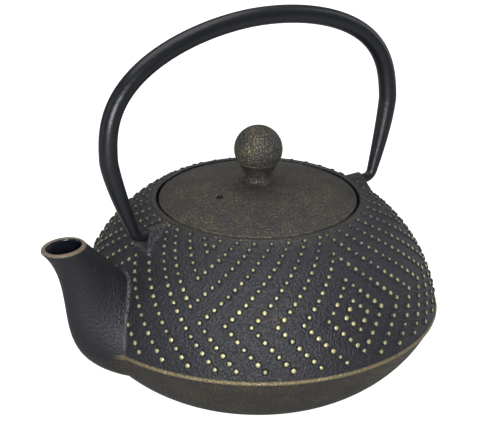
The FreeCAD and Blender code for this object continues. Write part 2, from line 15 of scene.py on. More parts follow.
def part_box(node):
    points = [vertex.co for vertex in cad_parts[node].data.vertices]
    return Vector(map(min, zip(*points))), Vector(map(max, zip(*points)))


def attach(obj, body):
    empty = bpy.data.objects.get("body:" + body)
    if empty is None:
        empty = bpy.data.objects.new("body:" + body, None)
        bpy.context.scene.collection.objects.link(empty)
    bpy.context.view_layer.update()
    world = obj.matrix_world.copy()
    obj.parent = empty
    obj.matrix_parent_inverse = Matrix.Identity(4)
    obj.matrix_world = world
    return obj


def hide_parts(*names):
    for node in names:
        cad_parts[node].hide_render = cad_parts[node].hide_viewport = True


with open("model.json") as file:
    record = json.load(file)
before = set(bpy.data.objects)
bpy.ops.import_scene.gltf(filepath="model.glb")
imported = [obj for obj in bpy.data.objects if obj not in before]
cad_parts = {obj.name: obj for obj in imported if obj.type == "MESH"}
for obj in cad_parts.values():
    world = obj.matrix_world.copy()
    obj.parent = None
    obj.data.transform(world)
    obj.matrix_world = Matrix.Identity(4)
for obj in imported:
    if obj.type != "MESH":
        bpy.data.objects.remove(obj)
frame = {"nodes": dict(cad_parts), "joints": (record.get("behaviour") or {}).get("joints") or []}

bl_info = {
    "name": "Cast Iron Teapot",
    "version": (1, 0, 0),
    "blender": (4, 5, 0),
    "location": "3D View > Sidebar > Teapot",
    "description": "Studded cast iron teapot with a hoop handle, a knobbed lid and an infuser",
    "category": "Object",
}

FULL_TURN = 2 * math.pi
POT_LOW, POT_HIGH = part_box("pot_body")
LID_LOW, LID_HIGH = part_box("lid")
KNOB_LOW, KNOB_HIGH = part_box("lid_knob")
SLEEVE_LOW, SLEEVE_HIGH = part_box("infuser_sleeve")
FLOOR_LOW, FLOOR_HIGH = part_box("infuser_floor")
HINGE = next(joint for joint in frame["joints"] if joint["name"] == "handle_hinge")

# crease angles
SHARP = math.radians(30)
KNOB_SHARP = math.radians(50)
SMOOTH = math.pi

# distances within which two points are one
ON_AXIS = 1e-9
SAME_POINT = 1e-7
SAME_CORNER = 1e-5

# fineness of the meshes
DRILL_SIDES = 32
KNOB_SIDES = 96
STEEL_SIDES = 160
DOME_STEPS = 28
BALL_STEPS = 48
FLARE_STEPS = 6
STUD_CORNERS = 11
STUD_RINGS = 4
HOLE_CORNERS = 8

# a stud: bluntness of its tip, flare of its foot, share of it under the skin, least and greatest size
STUD_BLUNT = 1.04
STUD_FLARE = 0.12
STUD_SUNK = 0.12
STUD_LEAST, STUD_MOST = 0.92, 1.06

# finishes: sizes of dust and of its drifts, brush lines, blurred edge of the vent hole
DUST_SIZE = 0.0006
DRIFT_SIZE = 0.014
BRUSH_LINES = 9000.0
VENT_EDGE = 0.0002

# perforated sheet: its share of the strip's thickness, and a reach beyond every hole
SHEET_THICKNESS = 0.8
EVERY_HOLE = 1.0

# the pot's lining: its floor is above FOOT, and the land, down to LAND_DEPTH below the rim, is bare
FOOT = 0.001
LAND_DEPTH = 0.0015

# the handle's arm leaves its foot towards a point one part in this many of the way up
ARM_PARTS = 400

# half the side of the floor
FLOOR_HALF = 3.0


# ---- what a user would change ------------------

def length(name, default, description):
    """A property that holds a length."""
    return FloatProperty(name=name, description=description, default=default, unit="LENGTH", precision=5)


def number(name, default, description):
    """A property that holds a plain number."""
    return FloatProperty(name=name, description=description, default=default)


def angle(name, degrees, description):
    """A property that holds an angle."""
    return FloatProperty(name=name, description=description, default=math.radians(degrees), subtype="ANGLE")


def count(name, default, description):
    """A property that holds a whole number."""
    return IntProperty(name=name, description=description, default=default, min=1)


def colour(name, default, description):
    """A property that holds a colour."""
    return FloatVectorProperty(name=name, description=description, default=default, subtype="COLOR",
                               size=3, min=0, max=1)


class TeapotPot(bpy.types.PropertyGroup):
    """Outline of the pot that the studs and the finish follow."""
    belly: length("Belly", POT_HIGH.y, "Outside of the edge band at the seam")
    seam: length("Seam", 0.0318, "Height of the middle of the edge band")
    band: length("Band", 0.0022, "Thickness of the edge band")
    band_step: length("Band step", 0.0008, "How far the edge band stands out")
    rim: length("Rim", 0.0842, "Height of the land round the mouth")
    rim_edge: length("Rim edge", 0.0836, "Height where the shoulder meets the land")
    rim_radius: length("Rim radius", 0.0492, "Outside of the land round the mouth")
    shoulder: length("Shoulder", 0.0706, "Radius of the shoulder arc")
    spout_root: length("Spout root", 0.060, "Distance from the axis beyond which the spout's root shows")
    spout_low: length("Spout low", 0.030, "Height above which the spout's root shows")
    lip_front: length("Lip front", 0.0836, "Height of the front of the spout's lip")
    lip_reach: length("Lip reach", 0.0209, "Length of the spout's lip")
    crease: angle("Crease", 35, "Edges sharper than this stay crisp")


class TeapotStuds(bpy.types.PropertyGroup):
    """The cast studs and the chevrons that they make."""
    around: count("Around", 168, "Places for a stud in each row")
    rows: count("Rows", 19, "Rows of places up the shoulder")
    first: length("First row", 0.0055, "Lowest row above the seam, along the shoulder")
    pitch: length("Pitch", 0.00319, "Distance between two rows, along the shoulder")
    radius: length("Radius", 0.00148, "Radius of a stud")
    height: length("Height", 0.00112, "Height of a stud")
    dwindle: number("Dwindle", 0.16, "Share by which the top row is smaller")
    centre: count("Centre row", 6, "Row of the diamonds' middles")
    step: count("Step", 4, "Places from one line of studs to the next")
    fold: count("Fold", 27, "Column where the upper chevrons turn back")
    flank: count("Flank", 22, "Column where the slanting flanks begin")
    probe: length("Probe", 0.003, "Height above the skin where free room is felt for")
    room: length("Room", 0.0025, "Free room that a stud needs at that height")
    seed: count("Seed", 7, "Seed of the small differences between studs")


class TeapotHandle(bpy.types.PropertyGroup):
    """The hoop, measured from the hinge axis."""
    hinge: length("Hinge", HINGE["pos_m"][2], "Height of the hinge axis")
    lean: angle("Lean", 5.2, "Lean at rest, towards +Y")
    half_span: length("Half span", 0.07685, "Widest point of the middle line")
    bulge: length("Bulge", 0.0115, "Widest point beyond the arm's foot")
    widest: length("Widest", 0.0377, "Height of the widest point")
    rise: length("Rise", 0.0887, "Height of the top")
    radius: length("Radius", 0.0042, "Radius of the rod over the top")
    hook: length("Hook", 0.00225, "Radius of the hooked ends")
    taper: length("Taper", 0.04, "Height over which the rod thins")
    bend: length("Bend", 0.0045, "Radius of the bend into the lug")
    pin_end: length("Pin end", 0.0554, "End of the hook inside its lug")
    lower_power: number("Lower power", 1.28, "How the arm bows out below its widest point")
    side_power: number("Side power", 1.91, "Roundness of the top, across")
    top_power: number("Top power", 2.73, "Roundness of the top, upwards")
    spacing: length("Spacing", 0.0011, "Distance between two rings of the mesh")
    steps: count("Steps", 56, "Points over each stretch of the middle line")
    sides: count("Sides", 40, "Corners of each ring")


class TeapotLid(bpy.types.PropertyGroup):
    """The lid and its knob."""
    edge: length("Edge", 0.0839, "Height of the lid's edge")
    seat: length("Seat", 0.0797, "Underside of the lid's edge")
    wall: length("Wall", 0.0032, "Iron of the dome")
    skirt_out: length("Skirt outside", 0.0375, "Outside of the skirt")
    skirt_in: length("Skirt inside", 0.0351, "Inside of the skirt")
    boss: length("Boss", 0.0065, "Flat under the dome for the washer")
    screw_hole: length("Screw hole", 0.00225, "Radius of the hole for the knob's screw")
    land: length("Land", 0.0082, "Flat under the knob")
    round: length("Rounding", 0.0005, "Rounding of the lid's edges")
    vent: length("Vent", 0.0015, "Radius of the vent hole")
    vent_offset: length("Vent offset", 0.023, "Vent hole from the axis")
    vent_turn: angle("Vent turn", 7, "Vent hole, turned from the spout")
    ball: length("Ball", KNOB_HIGH.x, "Radius of the knob's ball")
    neck: length("Neck", 0.006, "Radius of the knob's neck")
    neck_top: length("Neck top", 0.0034, "Height of the neck above the lid")
    flare: length("Flare", 0.0015, "Foot of the neck beyond the neck")
    foot_edge: length("Foot edge", 0.0004, "Straight edge of the neck's foot")
    neck_round: length("Neck rounding", 0.0004, "Rounding of the edge at the top of the neck")
    parting: length("Parting", 0.00022, "How far the mould's ridge stands out round the ball")
    ridge: length("Ridge", 0.00035, "Half height of that ridge")
    thread: length("Thread", 0.00202, "Radius of the tapped hole")
    thread_end: length("Thread end", 0.1019, "Height of the end of the tapped hole")
    sides: count("Sides", 192, "Corners round the axis")


class TeapotBasket(bpy.types.PropertyGroup):
    """The infuser and its perforations."""
    steel: length("Steel", 0.0005, "Thickness of the strip")
    hole: length("Hole", 0.00055, "Radius of a perforation")
    around: count("Around", 122, "Perforations round the sleeve")
    plain: length("Plain", 0.0065, "Plain strip at both ends of the sleeve")
    floor_plain: length("Floor plain", 0.003, "Plain edge of the floor")


class TeapotFinish(bpy.types.PropertyGroup):
    """Colours of the finishes."""
    iron: colour("Iron", (0.0125, 0.0125, 0.0175), "Blue-black iron of the pot")
    bowl: colour("Bowl", (0.030, 0.0255, 0.020), "Brown-grey iron under the seam")
    lid: colour("Lid", (0.034, 0.031, 0.028), "Warm grey-brown iron of the lid")
    handle: colour("Handle", (0.0055, 0.0065, 0.009), "Black lacquer of the handle")
    gold: colour("Gold", (0.36, 0.29, 0.145), "Gold dust")
    lip: colour("Lip", (0.34, 0.26, 0.165), "Rubbed edge of the spout's lip")
    tip: colour("Tip", (0.62, 0.56, 0.29), "Brushed tips of the studs")
    # painted shade: the spout's colour is darkened, standing for the shade on its side that faces away from
    # the light
    painted_spout_shade: colour("Soot", (0.002, 0.002, 0.002), "Duller black that the spout tends to")
    # painted highlight: a lighter colour on the fillet round the spout's root, standing for the light that
    # the fillet catches
    painted_root_highlight: colour("Scuff", (0.16, 0.15, 0.14), "Rough fillet round the spout's root")
    enamel: colour("Enamel", (0.008, 0.009, 0.013), "Enamel inside the pot")
    steel: colour("Steel", (0.58, 0.58, 0.56), "Stainless steel")
    tarnish: colour("Tarnish", (0.42, 0.41, 0.39), "Duller patches of the steel")
    shade: colour("Shade", (0.001, 0.001, 0.001), "Wall of the vent hole")


class TeapotStage(bpy.types.PropertyGroup):
    """Camera, lights and floor."""
    aim_x: length("Aim X", -0.0036, "Point that the camera looks at")
    aim_y: length("Aim Y", 0.0025, "Point that the camera looks at")
    aim_z: length("Aim Z", 0.0738, "Point that the camera looks at")
    distance: length("Distance", 0.9216, "Camera from that point")
    swing: angle("Swing", -34.7, "Camera round the pot, from -Y towards -X")
    height: angle("Height", 23.69, "Camera above that point")
    roll: angle("Roll", 0.61, "Camera about its own axis")
    lens: number("Lens", 144.9, "Focal length on a 36 mm sensor")
    daylight: number("Daylight", 0.17, "Light from all round")
    key: number("Key", 9.0, "Power of the large soft light")
    glow: number("Glow", 0.9, "Brightness of the floor as the camera sees it")
    floor: colour("Floor", (1, 1, 1), "Floor as the camera sees it")
    bounce: colour("Bounce", (0.5, 0.5, 0.5), "Floor as it lights the pot from below")


GROUPS = {
    "pot": TeapotPot,
    "studs": TeapotStuds,
    "handle": TeapotHandle,
    "lid": TeapotLid,
    "basket": TeapotBasket,
    "finish": TeapotFinish,
    "stage": TeapotStage,
}


def chosen(group):
    """The settings of one group."""
    return getattr(bpy.context.scene, f"teapot_{group}")


# ---- node trees --------------------------------

def operation(name, swapped=False):
    """A method that feeds a wire, and the value it is reckoned with, to a math node."""
    def method(self, *values):
        return self.net.math(name, *((*values, self) if swapped else (self, *values)))
    return method


class Wire:
    """A socket's value, with which sums are written like sums of numbers."""

    def __init__(self, net, socket):
        self.net = net
        self.socket = socket

    def other(self, name):
        """Another output of the same node."""
        return Wire(self.net, self.socket.node.outputs[name])

    __add__ = __radd__ = operation("ADD")
    __sub__ = operation("SUBTRACT")
    __rsub__ = operation("SUBTRACT", swapped=True)
    __mul__ = __rmul__ = operation("MULTIPLY")
    __truediv__ = operation("DIVIDE")
    __mod__ = operation("FLOORED_MODULO")
    __pow__ = operation("POWER")
    __lt__ = operation("LESS_THAN")
    __gt__ = operation("GREATER_THAN")
    __abs__ = operation("ABSOLUTE")
    root = operation("SQRT")


class Net:
    """A node tree, all of whose nodes come from add."""

    def __init__(self, tree):
        self.tree = tree

    def add(self, kind, settings=None, values=None, output=0):
        """A new node: its settings first, then the values or links of its sockets."""
        node = self.tree.nodes.new(kind)
        for key, value in (settings or {}).items():
            setattr(node, key, value)
        for key, value in (values or {}).items():
            self.feed(node.inputs[key], value)
        return Wire(self, node.outputs[output]) if len(node.outputs) else node

    def feed(self, socket, value):
        """Links a wire to a socket, or sets the socket to a value."""
        if isinstance(value, Wire):
            self.tree.links.new(value.socket, socket)
        elif socket.type == "RGBA":
            socket.default_value = (*value, 1) if len(value) == 3 else value
        else:
            socket.default_value = value

    def math(self, operation, *values):
        return self.add("ShaderNodeMath", {"operation": operation}, dict(enumerate(values)))

    def steps(self, value, low, high):
        """A smooth step from 0 at low to 1 at high."""
        return self.add("ShaderNodeMapRange", {"interpolation_type": "SMOOTHSTEP"},
                        {"Value": value, "From Min": low, "From Max": high})

    def mix(self, share, first, second):
        """A mix of two colours."""
        return self.add("ShaderNodeMix", {"data_type": "RGBA"}, {0: share, 6: first, 7: second}, 2)


# ---- materials ---------------------------------

class Surface:
    """A material under construction, with the place of each point of it."""

    def __init__(self, name):
        self.material = bpy.data.materials.new(name)
        self.material.use_nodes = True
        self.material.node_tree.nodes.clear()
        self.net = Net(self.material.node_tree)
        self.point = self.net.add("ShaderNodeTexCoord", output="Object")
        self.x = self.net.add("ShaderNodeSeparateXYZ", values={0: self.point})
        self.y = self.x.other("Y")
        self.z = self.x.other("Z")
        self.radius = (self.x * self.x + self.y * self.y).root()

    def noise(self, size, detail=2.0, roughness=0.5):
        """A cloud whose grains are about the given size across, from 0 to 1."""
        values = {"Vector": self.point, "Scale": 1 / size, "Detail": detail, "Roughness": roughness}
        return self.net.add("ShaderNodeTexNoise", values=values)

    def grain(self):
        """The skin that casting sand leaves: small soft bumps with a finer tooth on them."""
        return self.noise(0.0011, 1.0) * 0.7 + self.noise(0.0005, 1.0) * 0.3

    def dust(self, amount):
        """Specks of gold dust, which lie thicker in drifts. The amount may be a wire."""
        drift = self.noise(DRIFT_SIZE, 2.0)
        speck = self.noise(DUST_SIZE, 2.0, 0.65)
        return self.net.steps(speck + (drift - 0.5) * 0.2 + amount, 0.55, 0.66)

    def relief(self, height, depth):
        """A normal bent by a height field of the given depth."""
        return self.net.add("ShaderNodeBump", values={"Strength": 1.0, "Distance": depth, "Height": height})

    def finish(self, **values):
        """Closes the material with one principled shader."""
        sockets = {name.replace("_", " "): value for name, value in values.items()}
        shader = self.net.add("ShaderNodeBsdfPrincipled", values=sockets)
        self.net.add("ShaderNodeOutputMaterial", values={"Surface": shader})
        return self.material


def bead_mask(s, ragged):
    """1 on the bead along the seam, with ragged edges."""
    pot, steps = chosen("pot"), s.net.steps
    near_seam = steps(abs(s.z - pot.seam), 0.0016, 0.0009)
    stands_out = steps(s.radius, pot.belly - 0.0009, pot.belly - 0.0002)
    return near_seam * stands_out * steps(ragged, 0.2, 0.4)


def lip_mask(s, ragged):
    """1 on the lip of the spout, whose edge slants down to its front."""
    pot, steps = chosen("pot"), s.net.steps
    slope = (pot.lip_front - pot.rim_edge + 0.0018) / pot.lip_reach
    lip_height = (s.x - POT_LOW.x) * slope + pot.lip_front
    at_edge = steps(s.z - lip_height, -0.0011, -0.0001)
    out_there = steps(s.x, -pot.belly - 0.004, -pot.belly - 0.0075)
    return at_edge * out_there * steps(ragged, 0.2, 0.45)


def root_highlight_mask(s):
    """1 in patches on the fillet round the spout's root, which lies just above the shoulder's skin: where a
    highlight along the fillet is painted.
    """
    pot, steps = chosen("pot"), s.net.steps
    middle = shoulder_arc()
    out, up = s.radius - middle.x, s.z - middle.y
    above_skin = (out * out + up * up).root() - pot.shoulder
    on_fillet = steps(above_skin, 0.0001, 0.0004) * steps(above_skin, 0.0014, 0.0008)
    far_out = steps(s.x, -pot.spout_root, -pot.spout_root - 0.004)
    high_up = steps(s.z, pot.spout_low, pot.spout_low + 0.006)
    return on_fillet * far_out * high_up * steps(s.noise(0.0012, 3.0), 0.42, 0.62)


def pot_iron():
    """The outside of the pot: blue-black above the seam, brown-grey and dusty below it."""
    pot, colours = chosen("pot"), chosen("finish")
    s = Surface("pot_iron")
    net = s.net
    grain = s.grain()
    below = net.steps(s.z, pot.seam - 0.0012, pot.seam - 0.0022)
    high = net.steps(s.z, pot.rim_edge - 0.0035, pot.rim_edge + 0.0002)
    near_axis = net.steps(s.radius, pot.belly - 0.0005, pot.belly - 0.004)
    land = high * near_axis
    spout = net.steps(s.x, -pot.belly + 0.006, -pot.belly - 0.003)
    cloud = s.noise(0.02, 3.0)
    ragged = s.noise(0.003, 3.0)
    rubbed = 0.35 + s.noise(0.0008, 2.0) * 0.6
    specks = s.dust(below * 0.07 + land * 0.05 - spout * 0.06 - 0.09)
    bead = bead_mask(s, ragged) * (1 - spout)
    gilt = net.math("MAXIMUM", bead * rubbed, specks * 0.62)
    base = net.mix(below * (0.55 + cloud * 0.6), colours.iron, colours.bowl)
    base = net.mix(land * 0.5, base, colours.lid)
    # painted shade: the spout's colour is darkened towards near black, for the shade on its side that faces
    # away from the light
    base = net.mix(spout * 0.35, base, colours.painted_spout_shade)
    # painted highlight: lighter patches on the fillet round the spout's root, for the light that the fillet
    # catches
    base = net.mix(root_highlight_mask(s) * 0.45, base, colours.painted_root_highlight)
    base = net.mix(lip_mask(s, ragged) * rubbed * 0.75, base, colours.lip)
    return s.finish(
        Base_Color=net.mix(gilt, base, colours.gold),
        Metallic=gilt * 0.8,
        Roughness=0.40 + spout * 0.05 + grain * 0.16 - gilt * 0.08,
        Specular_IOR_Level=0.5,
        Normal=s.relief(grain * (1 - spout * 0.6), 0.0010),
    )


def stud_iron():
    """The studs: iron at the foot and brushed gold on the tip, dimmer up the shoulder."""
    colours = chosen("finish")
    s = Surface("stud_iron")
    net = s.net
    tip = net.add("ShaderNodeAttribute", {"attribute_name": "tip"}, output="Fac")
    worn = net.add("ShaderNodeAttribute", {"attribute_name": "worn"}, output="Fac")
    scratch = s.noise(0.0006, 2.0)
    high = net.steps(s.z, 0.058, 0.086)
    gilt = net.steps(tip + (scratch - 0.5) * 0.4 + worn * 0.14 - high * 0.08, 0.76, 1.0)
    gilt = gilt * (1 - high * 0.55)
    grain = s.grain()
    return s.finish(
        Base_Color=net.mix(gilt, colours.iron, colours.tip),
        Metallic=gilt * 0.75,
        Roughness=0.5 + grain * 0.15 - gilt * 0.12,
        Specular_IOR_Level=0.4,
        Normal=s.relief(grain, 0.00025),
    )


def dusted_iron(name, thick):
    """The lid's and the knob's iron: grey-brown under fine gold dust."""
    colours = chosen("finish")
    lid = chosen("lid")
    s = Surface(name)
    net = s.net
    grain = s.grain()
    cloud = s.noise(0.022, 3.0)
    specks = s.dust(thick)
    outside = net.steps(s.radius, LID_HIGH.x - 0.0009, LID_HIGH.x - 0.0002)
    upper = net.steps(s.z, lid.edge - 0.0012, lid.edge - 0.0004)
    edge = outside * upper * net.steps(s.noise(0.004, 3.0), 0.4, 0.6)
    gilt = net.math("MAXIMUM", specks * 0.72, edge * 0.18)
    base = net.mix(0.2 + cloud * 0.7, colours.iron, colours.lid)
    # no light reaches the wall of the vent hole
    from_vent_x = s.x + lid.vent_offset * math.cos(lid.vent_turn)
    from_vent_y = s.y + lid.vent_offset * math.sin(lid.vent_turn)
    from_vent = (from_vent_x * from_vent_x + from_vent_y * from_vent_y).root()
    solid = net.steps(from_vent, lid.vent, lid.vent + VENT_EDGE)
    base = net.mix(solid, colours.shade, base)
    gilt = gilt * solid
    return s.finish(
        Base_Color=net.mix(gilt, base, colours.gold),
        Metallic=gilt * 0.85,
        Roughness=0.44 + grain * 0.16 - gilt * 0.12,
        Specular_IOR_Level=0.45,
        Normal=s.relief(grain, 0.001),
    )


def handle_lacquer():
    """Smooth satin black, with the faint unevenness of a drawn and bent rod."""
    s = Surface("handle_lacquer")
    orange_peel = s.noise(0.0022, 2.0)
    rubbed = s.noise(0.03, 3.0)
    return s.finish(
        Base_Color=s.net.mix(rubbed * 0.35, chosen("finish").handle, chosen("finish").iron),
        Roughness=0.3 + rubbed * 0.12,
        Specular_IOR_Level=0.42,
        Normal=s.relief(orange_peel, 0.00012),
    )


def enamel():
    """The glassy lining of the pot."""
    s = Surface("enamel")
    pits = s.noise(0.004, 2.0)
    return s.finish(
        Base_Color=s.net.mix(pits * 0.5, chosen("finish").enamel, chosen("finish").iron),
        Roughness=0.2 + pits * 0.12,
        Normal=s.relief(pits, 0.00012),
    )


def brushed_steel():
    """Stainless steel, brushed round the axis."""
    s = Surface("brushed_steel")
    net = s.net
    ring = net.add("ShaderNodeCombineXYZ", values={0: s.radius, 2: s.z})
    lines = net.add("ShaderNodeTexNoise", values={"Vector": ring, "Scale": BRUSH_LINES, "Detail": 2.0})
    tarnish = s.noise(0.012, 3.0)
    return s.finish(
        Base_Color=net.mix(tarnish * 0.4, chosen("finish").steel, chosen("finish").tarnish),
        Metallic=1.0,
        Roughness=0.22 + lines * 0.16,
        Normal=s.relief(lines, 0.00002),
    )


# ---- meshes ------------------------------------

def piece_from(name, mesh_maker, materials, crease):
    """A piece from a bmesh, smooth except along creases."""
    mesh = bpy.data.meshes.new(name)
    made = mesh_maker()
    for face in made.faces:
        face.smooth = True
    for edge in made.edges:
        edge.smooth = len(edge.link_faces) == 2 and edge.calc_face_angle(0) < crease
    made.to_mesh(mesh)
    made.free()
    for material in materials:
        mesh.materials.append(material)
    piece = bpy.data.objects.new(name, mesh)
    bpy.context.scene.collection.objects.link(piece)
    return piece


def merged_copy(node):
    """A bmesh of a CAD node with its triangles joined."""
    made = bmesh.new()
    made.from_mesh(frame["nodes"][node].data)
    bmesh.ops.remove_doubles(made, verts=made.verts, dist=SAME_POINT)
    return made


def lathe(outline, sides):
    """A bmesh turned about Z from a closed outline of (radius, height), anticlockwise."""
    made = bmesh.new()
    rings = []
    for radius, height in outline:
        if radius < ON_AXIS:
            rings.append([made.verts.new((0, 0, height))] * sides)
            continue
        turns = [FULL_TURN * side / sides for side in range(sides)]
        rings.append([made.verts.new((radius * math.cos(t), radius * math.sin(t), height)) for t in turns])
    for ring, following in zip(rings, rings[1:] + rings[:1]):
        for side in range(sides):
            after = (side + 1) % sides
            corners = [ring[side], ring[after], following[after], following[side]]
            corners = list(dict.fromkeys(corners))
            if len(corners) > 2:
                made.faces.new(corners)
    bmesh.ops.recalc_face_normals(made, faces=made.faces)
    return made


def ring_outline(inner, outer, low, high):
    """The outline of a ring with a rectangular section."""
    return [(inner, low), (outer, low), (outer, high), (inner, high)]


def arc(centre, radius, start, end, steps):
    """Points along an arc between two angles in degrees."""
    turns = [math.radians(start + (end - start) * step / steps) for step in range(steps + 1)]
    return [(centre[0] + radius * math.cos(t), centre[1] + radius * math.sin(t)) for t in turns]


def rounded(outline, radius, steps=3):
    """An outline with each marked corner, (radius, height, True), rounded off."""
    softened = []
    for number, corner in enumerate(outline):
        if len(corner) == 2:
            softened.append(corner)
            continue
        here = Vector(corner[:2])
        before = Vector(outline[number - 1][:2])
        after = Vector(outline[(number + 1) % len(outline)][:2])
        start = here + (before - here).normalized() * radius
        end = here + (after - here).normalized() * radius
        for step in range(steps + 1):
            way = step / steps
            point = start.lerp(here, way).lerp(here.lerp(end, way), way)
            softened.append((point.x, point.y))
    return softened


def assign(piece, body, slot, *nodes):
    """Parents a finished piece to the empty of the body that it rides on, and hides the CAD nodes that it
    stands for; the slot, what it is made of, is not used.
    """
    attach(piece, body)
    if nodes:
        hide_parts(*nodes)


def steel_copies(body, ending, steel, *nodes):
    """Pieces with the shapes of CAD nodes and a steel finish."""
    for node in nodes:
        copy = piece_from(f"{node}_{ending}", lambda node=node: merged_copy(node), [steel], SHARP)
        assign(copy, body, "stainless", node)


def new_tree(name, inputs):
    """A Geometry Nodes tree with a geometry input and output, and one named input for each given value."""
    tree = bpy.data.node_groups.new(name, "GeometryNodeTree")
    tree.interface.new_socket("Geometry", in_out="INPUT", socket_type="NodeSocketGeometry")
    tree.interface.new_socket("Geometry", in_out="OUTPUT", socket_type="NodeSocketGeometry")
    kinds = {int: "NodeSocketInt", float: "NodeSocketFloat", bpy.types.Object: "NodeSocketObject",
             bpy.types.Material: "NodeSocketMaterial"}
    for label, value in inputs.items():
        tree.interface.new_socket(label, in_out="INPUT", socket_type=kinds[type(value)])
    return tree


def grown(piece, tree, inputs):
    """Runs a tree on a piece and keeps the result as its plain mesh."""
    modifier = piece.modifiers.new(tree.name, "NODES")
    modifier.node_group = tree
    names = {item.name: item.identifier for item in tree.interface.items_tree if item.in_out == "INPUT"}
    for label, value in inputs.items():
        modifier[names[label]] = value
    return settled(piece)


def settled(piece):
    """Applies every modifier of a piece."""
    graph = bpy.context.evaluated_depsgraph_get()
    graph.update()
    mesh = bpy.data.meshes.new_from_object(piece.evaluated_get(graph))
    piece.modifiers.clear()
    piece.data = mesh
    return piece


# ---- pot body ----------------------------------

def lined(made, rim):
    """Marks the inside of the pot, from its floor out to the mouth and the lip, as the second material."""
    made.faces.ensure_lookup_table()
    upward = [face for face in made.faces if face.normal.z > 0.5 and face.calc_center_median().z > FOOT]
    start = min(upward, key=lambda face: face.calc_center_median().length)
    waiting, inside = [start], {start}
    while waiting:
        face = waiting.pop()
        face.material_index = 1
        for edge in face.edges:
            for other in edge.link_faces:
                on_top = other.normal.z > 0.9 and other.calc_center_median().z > rim - LAND_DEPTH
                if other not in inside and not on_top:
                    inside.add(other)
                    waiting.append(other)
    return made


class TEAPOT_OT_pot(bpy.types.Operator):
    """Makes the pot's casting with its enamel lining"""
    bl_idname = "teapot.pot"
    bl_label = "Pot"

    def execute(self, context):
        pot = chosen("pot")
        piece = piece_from("pot_casting", lambda: lined(merged_copy("pot_body"), pot.rim),
                           [pot_iron(), enamel()], pot.crease)
        assign(piece, "pot", "dark_iron", "pot_body")
        return {"FINISHED"}


# ---- studs -------------------------------------

def shoulder_arc():
    """The middle of the shoulder's arc, (radius, height), from its two ends and its radius."""
    pot = chosen("pot")
    low = Vector((pot.belly - pot.band_step, pot.seam + pot.band / 2))
    high = Vector((pot.rim_radius, pot.rim_edge))
    chord = high - low
    rise = math.sqrt(pot.shoulder ** 2 - chord.length_squared / 4)
    inward = Vector((-chord.y, chord.x)).normalized()
    return (low + high) / 2 + inward * rise


